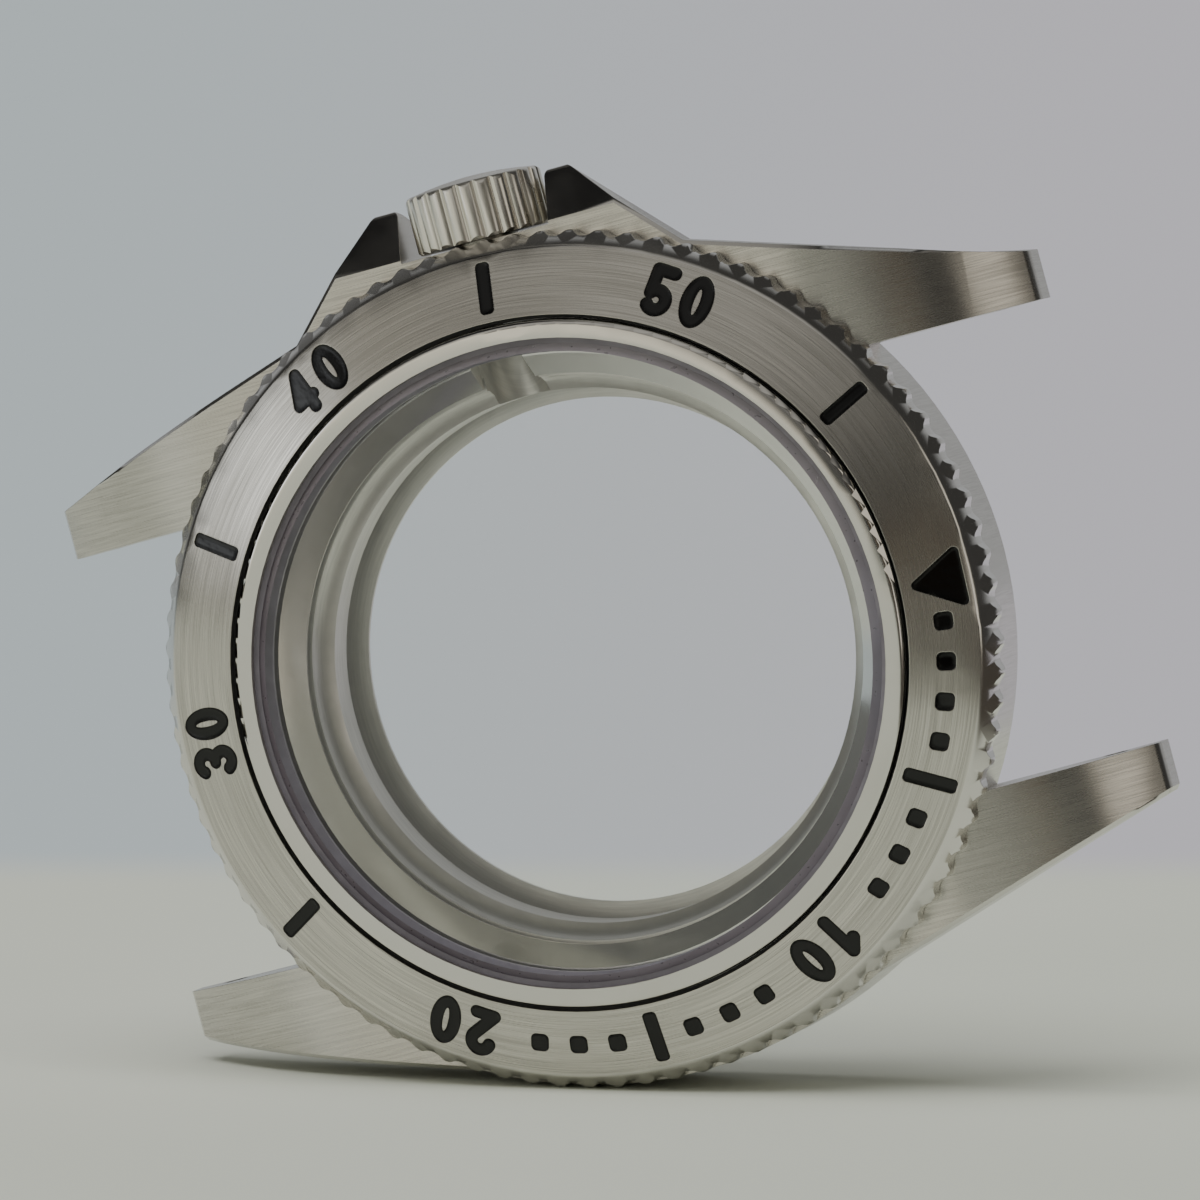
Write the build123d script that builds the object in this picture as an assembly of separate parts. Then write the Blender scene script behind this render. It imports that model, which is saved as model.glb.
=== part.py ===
from build123d import *
import os
from math import asin, atan2, cos, degrees, hypot, radians, sin, sqrt, tan

# Empty case of a diver's wristwatch, in millimetres.
# Watch coordinates: X points to the crown at three o'clock, Y to twelve o'clock, Z out
# through the crystal. The origin is where the dial axis meets the stem axis.
# stand() turns every finished piece into the resting pose: the case stands on its nine
# o'clock flank with the dial facing -Y and the crown up and to the left.

# Pose at rest, in degrees
case_roll = 15.4
bezel_offset = -2.1

# Clearances
turning_gap = 0.10
fit_gap = 0.03
slide_gap = 0.05
wire_gap = 0.15
overrun = 3.0

# Main sizes
neck_radius = 16.50
neck_height = 3.85
lug_gap = 22.0

# Heights of the case, measured from the stem axis
case_top = 2.45
case_base = -3.40
neck_top = case_top + neck_height

# Neck, crystal and its gasket
neck_wall = 0.90
neck_round = 0.30
gasket_wall = 0.27
crystal_sink = 0.10
crystal_bevel = 0.38
crystal_thickness = 1.95
gasket_sink = 0.45
gasket_foot = 0.25
ledge_width = 0.76
ledge_thickness = 0.40
neck_bore = neck_radius - neck_wall
crystal_radius = neck_bore - gasket_wall
crystal_top = neck_top - crystal_sink
crystal_base = crystal_top - crystal_thickness
gasket_top = neck_top - gasket_sink
ledge_bore = neck_bore - ledge_width
ledge_top = crystal_base - gasket_foot
ledge_base = ledge_top - ledge_thickness

# Rotating bezel
bezel_play = 0.20
bezel_width = 3.95
bezel_sink = 0.20
bezel_fall = 1.28
shoulder_inset = 0.79
shoulder_drop = 0.20
wall_inset = 0.63
wall_drop = 0.77
rim_inset = 0.15
rim_shelf = 0.25
bezel_foot_bevel = 0.15
flute_count = 90
flute_depth = 0.28
ridge_round = 0.40
bezel_bore = neck_radius + bezel_play
bezel_radius = bezel_bore + bezel_width
bezel_top = neck_top - bezel_sink
bezel_base = case_top + turning_gap
shoulder_radius = bezel_radius - shoulder_inset
shoulder_height = bezel_top - bezel_fall
wall_top_radius = bezel_radius - wall_inset
wall_top = shoulder_height - shoulder_drop
rim_top = wall_top - wall_drop
bezel_slope = bezel_fall / (shoulder_radius - bezel_bore)

# Ratchet under the bezel
ratchet_count = 120
ratchet_wall = 0.60
ratchet_width = 1.20
ratchet_room = 1.35
ratchet_depth = 0.28
ratchet_inner = bezel_bore + ratchet_wall
ratchet_outer = ratchet_inner + ratchet_width
ratchet_ceiling = case_top + ratchet_room
ratchet_step = 360 / ratchet_count

# Marks cut into the bezel and filled with enamel
mark_inset = 1.65
mark_depth = 0.30
enamel_sink = 0.08
bar_length = 2.50
bar_width = 0.70
bar_corner = 0.22
dot_size = 0.88
dot_corner = 0.26
numeral_height = 2.50
numeral_width = 1.56
numeral_stroke = 0.64
numeral_gap = 0.34
triangle_base = 3.20
triangle_height = 2.62
triangle_corner = 0.24
mark_radius = bezel_bore + mark_inset

# Bezel spring, wire and seal
click_inset = 0.15
click_width = 0.80
click_ring_thickness = 0.25
click_leaf_length = 3.60
click_root_length = 0.40
click_tip_length = 0.25
click_tip_gap = 0.08
wire_thickness = 0.32
wire_drop = 1.75
wire_bite = 0.28
bezel_seal_drop = 0.75
bezel_seal_thickness = 0.40
bezel_seal_width = 0.36
click_ring_inner = ratchet_inner + click_inset
click_ring_outer = click_ring_inner + click_width
wire_height = bezel_top - wire_drop
bezel_seal_height = bezel_top - bezel_seal_drop

# Crown and its tube
crown_radius = 3.38
crown_reach = 2.60
crown_dome = 0.65
crown_end_wall = 0.90
crown_bevel = 0.15
crown_flute_count = 24
crown_flute_depth = 0.18
crown_ridge_round = 0.46
crown_bore = 1.60
pocket_inset = 0.05
tube_seat_inset = 1.75
tube_radius = 1.55
tube_bore = 0.86
tube_inset = 0.20
tube_reach = 2.70
tube_flange_radius = 2.05
tube_flange_thickness = 0.50
tube_seal_thickness = 0.28
tube_seal_radius = 1.95
post_radius = 0.80
post_inset = 1.20
post_head_thickness = 0.32
post_thread_radius = 0.45
post_thread_depth = 2.60
crown_seal_inset = 0.45
crown_seal_width = 0.36
crown_seal_depth = 0.30
crown_washer_thickness = 0.12
crown_spring_wire = 0.18
crown_spring_turns = 2.0
crown_inner_x = bezel_radius + turning_gap
crown_edge_x = bezel_radius + crown_reach
crown_outer_x = crown_edge_x + crown_dome
crown_bore_end_x = crown_outer_x - crown_end_wall
crown_seal_x = crown_inner_x + crown_seal_inset
pocket_face_x = bezel_radius - pocket_inset
tube_seat_x = bezel_radius - tube_seat_inset
tube_outer_x = tube_seat_x + tube_reach

# Inside rings
inner_step = 0.40
dial_lip = 0.45
rehaut_width = 1.42
rehaut_foot_rise = 0.20
slot_width = 2.65
dial_wall = 0.85
dial_seat = 1.55
seat_width = 0.68
seat_step = 1.20
step_width = 0.25
step_height = 0.50
bore_width = 0.47
movement_bore_top = 0.05
stem_hole_margin = 0.20
holder_flange_thickness = 0.35
stem_slot_base = -1.35
inner_bore = neck_bore - inner_step
rehaut_base = dial_seat + dial_lip
rehaut_foot_radius = inner_bore - rehaut_width
dial_seat_radius = inner_bore - dial_wall
seat_bore = dial_seat_radius - seat_width
step_bore = seat_bore - step_width
movement_bore = step_bore - bore_width
holder_flange_top = -tube_radius - stem_hole_margin
tube_inner_x = inner_bore + tube_inset
post_inner_x = tube_inner_x + post_inset

# Back cover
cover_thread_step = 1.40
cover_flange_width = 1.50
cover_thickness = 1.35
cover_rim_height = 0.45
cover_face_inset = 1.70
cover_lip = 0.50
cover_lip_bevel = 0.25
back_glass_inset = 3.10
back_glass_ledge = 1.20
back_glass_thickness = 1.15
back_seal_width = 0.32
back_seal_height = 0.95
wrench_count = 6
wrench_width = 2.40
wrench_depth = 0.95
wrench_height = 0.75
cover_seal_inset = 0.38
cover_seal_width = 0.64
cover_seal_thickness = 0.50
back_face = case_base - cover_thickness
cover_thread_radius = inner_bore + cover_thread_step
cover_thread_top = holder_flange_top - holder_flange_thickness - slide_gap
cover_flange_radius = cover_thread_radius + cover_flange_width
cover_face_radius = cover_flange_radius - cover_face_inset
back_glass_radius = cover_thread_radius - back_glass_inset
cover_aperture = back_glass_radius - back_glass_ledge
cover_seal_inner = cover_thread_radius + cover_seal_inset
cover_seal_outer = cover_seal_inner + cover_seal_width

# Crown guards
guard_reach = 2.60
guard_wall = 1.20
guard_tip_round = 0.40
guard_tip_edge_round = 0.40
guard_pocket_gap = 0.40
guard_fall = 1.85
guard_rise = 1.80
guard_wall_drop = 1.70
guard_under_inset = 1.25
guard_under_shift = 0.30
crown_pocket_y = crown_radius + guard_pocket_gap
guard_tip_x = bezel_radius + guard_reach
guard_tip_y = crown_pocket_y + guard_wall
guard_shelf_x = bezel_radius + turning_gap
guard_tip_top = case_top - guard_fall
guard_tip_base = case_base + guard_rise
guard_wall_base = case_top - guard_wall_drop

# Plan of the middle case
lug_length = 5.10
lug_tip_width = 2.40
guard_run = 4.97
body_inset = 0.65
flank_overhang = 0.55
edge_bevel = 0.18
body_radius = bezel_radius - body_inset
flank_radius = bezel_radius + flank_overhang
half_gap = lug_gap / 2
lug_reach = body_radius + lug_length
lug_tip_x = half_gap + lug_tip_width
lug_root_y = guard_tip_y + guard_run
flank_centre = flank_overhang / cos(radians(case_roll))
flank_root_x = sqrt(flank_radius**2 - lug_root_y**2) - flank_centre

# Side view of the lugs
lug_bend_length = 11.60
lug_fall = 5.20
lug_drop = 1.40
lug_tip_round = 1.00
spring_bar_radius = 0.60
spring_bar_depth = 1.30
spring_bar_mouth = 0.10
spring_bar_point = 0.36
spring_bar_inset = 2.30
spring_bar_rise = 1.75
lug_bend_start = lug_reach - lug_bend_length
lug_tip_top = case_top - lug_fall
lug_tip_base = case_base - lug_drop
lug_under_start = cover_flange_radius + turning_gap


# Helpers
def turned(*points):
    """Solid of revolution about Z from (radius, height) points."""
    return revolve(Plane.XZ * make_face(Polyline(*points, close=True)), Axis.Z)


def ring(inner, outer, low, high):
    """Plain ring about Z with a rectangular section."""
    return turned((inner, low), (outer, low), (outer, high), (inner, high))


def at(radius, angle):
    """Flat point at a radius and an angle."""
    return (radius * cos(radians(angle)), radius * sin(radians(angle)))


def fluted_bar(radius, count, depth, ridge, low, high):
    """Bar about Z, longer than low to high, with round ridges and tangent round hollows."""
    step = 360 / count
    crest = radius - ridge
    bottom = radius - depth
    turn = cos(radians(step / 2))
    apart = crest**2 + bottom**2 - 2 * crest * bottom * turn
    hollow = (apart - ridge**2) / (2 * (ridge + crest * turn - bottom))
    share = ridge / (ridge + hollow)

    def joint(ridge_angle, hollow_angle):
        near = at(crest, ridge_angle)
        far = at(bottom + hollow, hollow_angle)
        return tuple(a + (b - a) * share for a, b in zip(near, far))

    edges = []
    for i in range(count):
        left = i * step
        middle = (i + 0.5) * step
        right = (i + 1) * step
        end = joint((i + 1.5) * step, right)
        edges.append(ThreePointArc(joint(middle, left), at(radius, middle), joint(middle, right)))
        edges.append(ThreePointArc(joint(middle, right), at(bottom, right), end))
    wave = Pos(0, 0, low - overrun) * make_face(edges)
    return extrude(wave, amount=high - low + 2 * overrun)


def on_stem(shape):
    """Lay a shape that was turned about Z along the stem axis, X."""
    return Rot(0, 90, 0) * shape


def slab(x0, x1, y0, y1, z0, z1):
    """Box between two corners."""
    centre = Pos((x0 + x1) / 2, (y0 + y1) / 2, (z0 + z1) / 2)
    return centre * Box(x1 - x0, y1 - y0, z1 - z0)


def stand(shape):
    """Turn a piece from watch coordinates into the resting pose."""
    return Rot(0, -(90 + case_roll), 0) * (Rot(90, 0, 0) * shape)


# Middle case
def case_plan():
    """Outline of the case seen from the dial: four lugs, round ends, flank and guards."""
    notch_y = sqrt(body_radius**2 - half_gap**2)
    start = (half_gap, lug_reach)
    crown_side = Polyline(
        start,
        (lug_tip_x, lug_reach),
        (flank_root_x, lug_root_y),
        (guard_tip_x, guard_tip_y),
        (guard_tip_x, crown_pocket_y),
        (pocket_face_x, crown_pocket_y),
        (pocket_face_x, -crown_pocket_y),
        (guard_tip_x, -crown_pocket_y),
        (guard_tip_x, -guard_tip_y),
        (flank_root_x, -lug_root_y),
        (lug_tip_x, -lug_reach),
        (half_gap, -lug_reach),
        (half_gap, -notch_y),
    )
    six_end = ThreePointArc((half_gap, -notch_y), (0, -body_radius), (-half_gap, -notch_y))
    six_lug = Polyline(
        (-half_gap, -notch_y),
        (-half_gap, -lug_reach),
        (-lug_tip_x, -lug_reach),
        (-flank_root_x, -lug_root_y),
    )
    flank = ThreePointArc(
        (-flank_root_x, -lug_root_y),
        (flank_centre - flank_radius, 0),
        (-flank_root_x, lug_root_y),
    )
    twelve_lug = Polyline(
        (-flank_root_x, lug_root_y),
        (-lug_tip_x, lug_reach),
        (-half_gap, lug_reach),
        (-half_gap, notch_y),
    )
    twelve_end = ThreePointArc((-half_gap, notch_y), (0, body_radius), (half_gap, notch_y))
    closing = Line((half_gap, notch_y), start)
    plan = make_face(crown_side + six_end + six_lug + flank + twelve_lug + twelve_end + closing)
    return fillet(plan.vertices().sort_by(Axis.X)[-4:], guard_tip_round)


def case_side():
    """Side view of the case: flat in the middle, with lugs that bend down to the wrist."""
    fall = case_top - lug_tip_top
    run = lug_reach - lug_bend_start
    bend = (run**2 + fall**2) / (2 * fall)
    half_angle = asin(run / bend) / 2
    top_mid = (lug_bend_start + bend * sin(half_angle), case_top - bend + bend * cos(half_angle))
    tip = (lug_reach, lug_tip_top)
    under_mid_share = 0.55
    under_mid = (
        lug_under_start + (lug_reach - lug_under_start) * under_mid_share,
        case_base + (lug_tip_base - case_base) * under_mid_share**2,
    )

    def half(side):
        return [
            ThreePointArc(
                (side * lug_bend_start, case_top), (side * top_mid[0], top_mid[1]), (side * tip[0], tip[1])
            ),
            Line((side * tip[0], tip[1]), (side * lug_reach, lug_tip_base)),
            ThreePointArc(
                (side * lug_reach, lug_tip_base),
                (side * under_mid[0], under_mid[1]),
                (side * lug_under_start, case_base),
            ),
        ]

    top = Line((-lug_bend_start, case_top), (lug_bend_start, case_top))
    base = Line((lug_under_start, case_base), (-lug_under_start, case_base))
    face = make_face(Curve() + [top, base] + half(1) + half(-1))
    corners = [face.vertices().sort_by_distance((side * lug_reach, lug_tip_top, 0))[0] for side in (1, -1)]
    return Plane.YZ * fillet(corners, lug_tip_round)


def guard_cuts():
    """Wedges that slope both faces of the crown guards down to their tips."""
    reach = guard_tip_x + overrun
    top_slope = (case_top - guard_tip_top) / (guard_tip_x - guard_shelf_x)
    base_slope = (guard_tip_base - case_base) / (guard_tip_x - guard_shelf_x)
    wide = 2 * body_radius
    draft = guard_under_inset / (guard_wall_base - case_base)
    edge = guard_tip_x + slide_gap - draft * (guard_wall_base - case_top - top_slope * guard_shelf_x)
    edge_x = edge / (1 + draft * top_slope)
    edge_z = case_top - top_slope * (edge_x - guard_shelf_x)
    low = guard_tip_top - 2 * guard_tip_edge_round
    top = Polyline(
        (guard_shelf_x, case_top),
        (edge_x, edge_z),
        (edge_x - draft * (edge_z - low), low),
        (reach, low),
        (reach, case_top + overrun),
        (guard_shelf_x, case_top + overrun),
        close=True,
    )
    top = make_face(top)
    top = fillet(top.vertices().sort_by_distance((edge_x, edge_z, 0))[:1], guard_tip_edge_round)
    base = Polyline(
        (guard_shelf_x, case_base),
        (reach, case_base + base_slope * (reach - guard_shelf_x)),
        (reach, case_base - overrun),
        (guard_shelf_x, case_base - overrun),
        close=True,
    )
    return [extrude(Plane.XZ * face, amount=wide / 2, both=True) for face in (top, make_face(base))]


def guard_outline(inset, shift, height):
    """Outline over lugs, flanks and guards, with the crown side drawn in by an inset."""
    wide = lug_reach + overrun
    root = (flank_root_x - inset, lug_root_y - shift)
    tip = (guard_tip_x - inset, guard_tip_y - shift)
    line = Polyline(
        (-wide, wide),
        (lug_tip_x, wide),
        (lug_tip_x, lug_reach),
        root,
        tip,
        (tip[0], -tip[1]),
        (root[0], -root[1]),
        (lug_tip_x, -lug_reach),
        (lug_tip_x, -wide),
        (-wide, -wide),
        close=True,
    )
    return Pos(0, 0, height) * make_face(line)


def guard_envelope():
    """Space that the crown side fills: upright walls above, drawn in towards the back."""
    upper = guard_outline(0, 0, guard_wall_base)
    lower = guard_outline(guard_under_inset, guard_under_shift, case_base)
    walls = extrude(upper, amount=case_top + overrun - guard_wall_base, dir=(0, 0, 1))
    foot = extrude(lower, amount=case_base + overrun - lug_tip_base, dir=(0, 0, -1))
    return walls + loft([upper, lower], ruled=True) + foot


def mid_case():
    """Lugs, flanks, crown guards, neck and every bore that the other pieces sit in."""
    deep = lug_reach + body_radius
    blank = extrude(case_plan(), amount=deep, both=True)
    blank &= extrude(case_side(), amount=deep, both=True)
    blank &= guard_envelope()
    blank -= guard_cuts()
    top_edges = blank.edges().filter_by(lambda e: is_top_edge(e))
    blank = chamfer(top_edges, edge_bevel)
    body = blank + ring(neck_bore, neck_radius, case_top - turning_gap, neck_top)
    body = fillet(neck_edge(body), neck_round)
    body -= case_bores()
    body -= neck_groove()
    body -= click_groove()
    body -= cover_seal_groove()
    body -= stem_hole()
    body -= spring_bar_holes()
    return body


def is_top_edge(edge):
    """True for the outer edges of the upper face, which carry the polished bevel."""
    middle = edge.position_at(0.5)
    ends = [edge.position_at(0), edge.position_at(1)]
    level = case_top - edge_bevel
    upper = middle.Z > case_top - edge_bevel
    on_lug = abs(middle.Y) > lug_bend_start and min(p.Z for p in ends) > lug_tip_top - edge_bevel
    sloped = on_lug and max(p.Z for p in ends) > level
    across = abs(abs(middle.X) - guard_shelf_x) < edge_bevel and abs(middle.Y) < lug_root_y
    seam = abs(middle.X) < half_gap and all(abs(abs(p.Y) - lug_bend_start) < fit_gap for p in ends)
    return (upper or sloped) and not across and not seam


def neck_edge(body):
    """Outer top edge of the neck."""
    edges = body.edges().filter_by(GeomType.CIRCLE)
    return edges.filter_by(lambda e: abs(e.radius - neck_radius) < fit_gap).sort_by(Axis.Z)[-1:]


def case_bores():
    """Crystal seat, ledge, inner bore and threaded back bore, turned in one piece."""
    return turned(
        (0, neck_top + overrun),
        (neck_bore, neck_top + overrun),
        (neck_bore, ledge_top),
        (ledge_bore, ledge_top),
        (ledge_bore, ledge_base),
        (inner_bore, ledge_base),
        (inner_bore, holder_flange_top),
        (cover_thread_radius, holder_flange_top),
        (cover_thread_radius, case_base - overrun),
        (0, case_base - overrun),
    )


def neck_groove():
    """Groove round the neck for the bezel wire."""
    low = wire_height - wire_thickness / 2
    high = wire_height + wire_thickness / 2
    return ring(neck_radius - wire_bite, neck_radius + wire_bite, low, high)


def click_groove():
    """Shallow groove in the case under the bezel for the click spring."""
    inner = click_ring_inner - slide_gap
    outer = click_ring_outer + slide_gap
    return ring(inner, outer, case_top - click_ring_thickness, case_top + overrun)


def cover_seal_groove():
    """Groove in the back of the case for the cover seal."""
    return ring(cover_seal_inner, cover_seal_outer, case_base - overrun, case_base + cover_seal_thickness)


def stem_hole():
    """Radial hole at three o'clock for the crown tube, with a seat for its flange."""
    start = inner_bore - fit_gap
    hole = ring(0, tube_radius, start, tube_seat_x + fit_gap)
    seat = ring(0, tube_flange_radius + slide_gap, tube_seat_x, pocket_face_x + overrun)
    return on_stem(hole + seat)


def spring_bar_holes():
    """Blind holes in the inner faces of the four lugs, with a broken edge and a drill point."""
    end = half_gap + spring_bar_depth
    start = half_gap + spring_bar_mouth
    gap_end = half_gap - spring_bar_mouth
    wide = spring_bar_radius + 2 * spring_bar_mouth
    cutter = turned(
        (0, -end - spring_bar_point),
        (spring_bar_radius, -end),
        (spring_bar_radius, -start),
        (wide, -gap_end),
        (wide, gap_end),
        (spring_bar_radius, start),
        (spring_bar_radius, end),
        (0, end + spring_bar_point),
    )
    y = lug_reach - spring_bar_inset
    z = lug_tip_base + spring_bar_rise
    return [Pos(0, side * y, z) * on_stem(cutter) for side in (1, -1)]


# Bezel
def bezel_face_height(radius):
    """Height of the sloping bezel face at a radius."""
    return bezel_top - bezel_slope * (radius - bezel_bore)


def bezel_layer(upper, lower):
    """Cone-shaped layer between two depths below the bezel face."""
    inner = bezel_bore - overrun
    outer = shoulder_radius + overrun
    return turned(
        (inner, bezel_face_height(inner) - lower),
        (outer, bezel_face_height(outer) - lower),
        (outer, bezel_face_height(outer) - upper),
        (inner, bezel_face_height(inner) - upper),
    )


def bezel_ring(marks):
    """Turned bezel with a fluted rim, a ratchet below and the cut marks."""
    rim_radius = bezel_radius - rim_inset
    blank = turned(
        (bezel_bore, bezel_base),
        (ratchet_inner, bezel_base),
        (ratchet_inner, ratchet_ceiling),
        (ratchet_outer, ratchet_ceiling),
        (ratchet_outer, bezel_base),
        (bezel_radius - bezel_foot_bevel, bezel_base),
        (bezel_radius, bezel_base + bezel_foot_bevel),
        (bezel_radius, rim_top - rim_shelf),
        (rim_radius, rim_top),
        (wall_top_radius, wall_top),
        (shoulder_radius, shoulder_height),
        (bezel_bore, bezel_top),
    )
    blank &= fluted_bar(bezel_radius, flute_count, flute_depth, ridge_round, bezel_base, bezel_top)
    blank -= wire_room()
    blank -= bezel_seal_groove()
    blank += ratchet_teeth()
    return blank - extrude_marks(marks, -overrun, mark_depth)


def wire_room():
    """Groove in the bezel bore that the wire snaps into."""
    half = wire_thickness / 2 + wire_gap
    outer = neck_radius - wire_bite + slide_gap + wire_section() + wire_gap
    return ring(bezel_bore - overrun, outer, wire_height - half, wire_height + half)


def wire_section():
    """Radial width of the bezel wire."""
    return 2 * wire_bite


def bezel_seal_groove():
    """Groove in the bezel bore for the bezel seal."""
    half = bezel_seal_thickness / 2
    outer = neck_radius + fit_gap + bezel_seal_width
    return ring(bezel_bore - overrun, outer, bezel_seal_height - half, bezel_seal_height + half)


def ratchet_teeth():
    """Teeth under the bezel, one for each click, joined to its ceiling."""
    half = radians(ratchet_step) * ratchet_inner / 4
    section = Polyline((-half, 0), (half, 0), (-half, -ratchet_depth), close=True)
    width = ratchet_outer - ratchet_inner
    tooth = extrude(Plane.YZ * make_face(section), amount=width)
    tooth = Pos(ratchet_inner, 0, ratchet_ceiling) * tooth
    return [Rot(0, 0, (i + 0.5) * ratchet_step + bezel_offset) * tooth for i in range(ratchet_count)]


def extrude_marks(marks, upper, lower):
    """Prisms over flat marks, kept between two depths below the bezel face."""
    layer = bezel_layer(upper, lower)
    faces = [face for mark in marks for face in mark.faces()]
    return [extrude(face, amount=bezel_top + overrun, dir=(0, 0, 1)) & layer for face in faces]


def at_minute(minute, shape):
    """Turn a mark drawn upright at the centre to its minute, with its top outwards."""
    angle = -90 + bezel_offset - 6 * minute
    return Rot(0, 0, angle - 90) * (Pos(0, mark_radius, 0) * shape)


def stroke(start, end):
    """One straight stroke with round ends."""
    dx = end[0] - start[0]
    dy = end[1] - start[1]
    centre = Pos((start[0] + end[0]) / 2, (start[1] + end[1]) / 2, 0)
    turn = Rot(0, 0, degrees(atan2(dy, dx)))
    return centre * turn * SlotCenterToCenter(hypot(dx, dy), numeral_stroke)


def bow(centre, radius, start, sweep):
    """One curved stroke with round ends."""
    return SlotArc(CenterArc(centre, radius, start, sweep), numeral_stroke)


def digit(figure):
    """Flat outline of one figure, centred, in strokes of one width."""
    half_w = (numeral_width - numeral_stroke) / 2
    half_h = (numeral_height - numeral_stroke) / 2
    if figure == "0":
        inner_w = numeral_width / 2 - numeral_stroke
        inner_h = numeral_height / 2 - numeral_stroke
        return Ellipse(numeral_width / 2, numeral_height / 2) - Ellipse(inner_w, inner_h)
    if figure == "1":
        stem_share = 0.35
        flag_share = 0.5
        x = half_w * stem_share
        flag = half_h * flag_share
        return stroke((x, -half_h), (x, half_h)) + stroke((x, half_h), (x - flag, half_h - flag))
    if figure == "2":
        top = (0, half_h - half_w)
        lean_share = 0.8
        low = (half_w * lean_share, top[1] - half_w * (1 - lean_share))
        head = bow(top, half_w, -35, 205)
        tail = stroke((low[0], low[1] - half_w / 2 * lean_share), (-half_w, -half_h))
        return head + tail + stroke((-half_w, -half_h), (half_w, -half_h))
    if figure == "3":
        radius = half_h / 2
        return bow((0, radius), radius, -90, 240) + bow((0, -radius), radius, -150, 240)
    if figure == "4":
        stem_share = 0.5
        bar_share = -0.42
        x = half_w * stem_share
        y = half_h * bar_share
        slope = stroke((x, half_h), (-half_w, y))
        return stroke((x, -half_h), (x, half_h)) + slope + stroke((-half_w, y), (half_w, y))
    corner_share = 0.8
    left = -half_w * corner_share
    bowl = bow((0, half_w - half_h), half_w, -140, 265)
    joint = (left, half_w - half_h + half_w * sqrt(1 - corner_share**2))
    return stroke((left, half_h), (half_w, half_h)) + stroke((left, half_h), joint) + bowl


def numeral(figures):
    """Two figures side by side."""
    shift = (numeral_width + numeral_gap) / 2
    return Pos(-shift, 0, 0) * digit(figures[0]) + Pos(shift, 0, 0) * digit(figures[1])


def numeral_marks():
    return [at_minute(10 * tens, numeral(f"{tens}0")) for tens in range(1, 6)]


def bar_marks():
    bar = RectangleRounded(bar_width, bar_length, bar_corner)
    return [at_minute(5 + 10 * i, bar) for i in range(6)]


def dot_marks():
    dot = RectangleRounded(dot_size, dot_size, dot_corner)
    minutes = [m for m in range(1, 19) if m % 5 and abs(m - 10) > 1]
    return [at_minute(m, dot) for m in minutes]


def triangle_marks():
    half = triangle_base / 2
    top = bar_length / 2
    outline = make_face(Polyline((-half, top), (half, top), (0, top - triangle_height), close=True))
    return [at_minute(0, fillet(outline.vertices(), triangle_corner))]


def enamel(marks):
    """Enamel in the cut marks, a little below the bezel face."""
    return Compound(children=extrude_marks(marks, enamel_sink, mark_depth))


# Parts that hold, seal and click the bezel
def bezel_wire():
    """Open spring wire ring that sits in the neck groove and holds the bezel down."""
    inner = neck_radius - wire_bite
    half = wire_thickness / 2
    wire = ring(inner, inner + wire_section(), wire_height - half, wire_height + half)
    opening = 3 * wire_section()
    return wire - slab(0, neck_radius * 2, -opening / 2, opening / 2, 0, neck_top)


def click_spring():
    """Flat ring with one raised leaf whose tip rests against a ratchet tooth."""
    plate = ring(click_ring_inner, click_ring_outer, case_top - click_ring_thickness, case_top)
    leaf_top = ratchet_ceiling - ratchet_depth - slide_gap
    tip_top = ratchet_ceiling - click_tip_gap
    leaf = Polyline(
        (-click_leaf_length, case_top),
        (0, leaf_top - click_ring_thickness),
        (0, tip_top),
        (-click_tip_length, leaf_top),
        (-click_leaf_length - click_root_length, case_top),
        close=True,
    )
    width = (click_ring_outer - click_ring_inner) / 2
    middle = (click_ring_outer + click_ring_inner) / 2
    prism = extrude(Plane.YZ * make_face(leaf), amount=width / 2, both=True)
    tooth_face = ratchet_step * 5 / 4 + bezel_offset
    return plate + Rot(0, 0, tooth_face) * (Pos(middle, -slide_gap, 0) * prism)


def bezel_seal():
    """Soft ring in the bezel bore that bears on the neck."""
    half = bezel_seal_thickness / 2
    inner = neck_radius + fit_gap
    return ring(inner, inner + bezel_seal_width, bezel_seal_height - half, bezel_seal_height + half)


# Crystal and the rings under it
def crystal():
    """Flat crystal with a bevelled upper edge."""
    return turned(
        (0, crystal_base),
        (crystal_radius, crystal_base),
        (crystal_radius, crystal_top - crystal_bevel),
        (crystal_radius - crystal_bevel, crystal_top),
        (0, crystal_top),
    )


def crystal_gasket():
    """Collar round the crystal with a foot under it."""
    return turned(
        (ledge_bore + slide_gap, ledge_top),
        (neck_bore, ledge_top),
        (neck_bore, gasket_top),
        (crystal_radius, gasket_top),
        (crystal_radius, crystal_base),
        (ledge_bore + slide_gap, crystal_base),
    )


def rehaut_ring():
    """Sloping ring between the crystal and the dial seat, with a slot at three o'clock."""
    body = turned(
        (ledge_bore - slide_gap, ledge_base),
        (inner_bore - slide_gap, ledge_base),
        (inner_bore - slide_gap, rehaut_base),
        (rehaut_foot_radius, rehaut_base),
        (rehaut_foot_radius, rehaut_base + rehaut_foot_rise),
    )
    half = slot_width / 2
    return body - slab(0, inner_bore, -half, half, rehaut_base - overrun, ledge_base + overrun)


def movement_holder():
    """Ring that holds the dial and the movement, flanged at the back, slotted for the stem."""
    outer = inner_bore - slide_gap
    flange_radius = cover_thread_radius - wire_gap
    flange_base = holder_flange_top - holder_flange_thickness
    body = turned(
        (dial_seat_radius, rehaut_base),
        (outer, rehaut_base),
        (outer, holder_flange_top),
        (flange_radius, holder_flange_top),
        (flange_radius, flange_base),
        (movement_bore, flange_base),
        (movement_bore, movement_bore_top),
        (step_bore, step_height),
        (seat_bore, seat_step),
        (seat_bore, dial_seat),
        (dial_seat_radius, dial_seat),
    )
    half = slot_width / 2
    slot = slab(0, outer + slide_gap, -half, half, stem_slot_base + half, rehaut_base + overrun)
    foot = Pos(outer / 2, 0, stem_slot_base + half) * on_stem(Cylinder(half, outer + slide_gap * 2))
    return body - slot - foot


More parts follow.
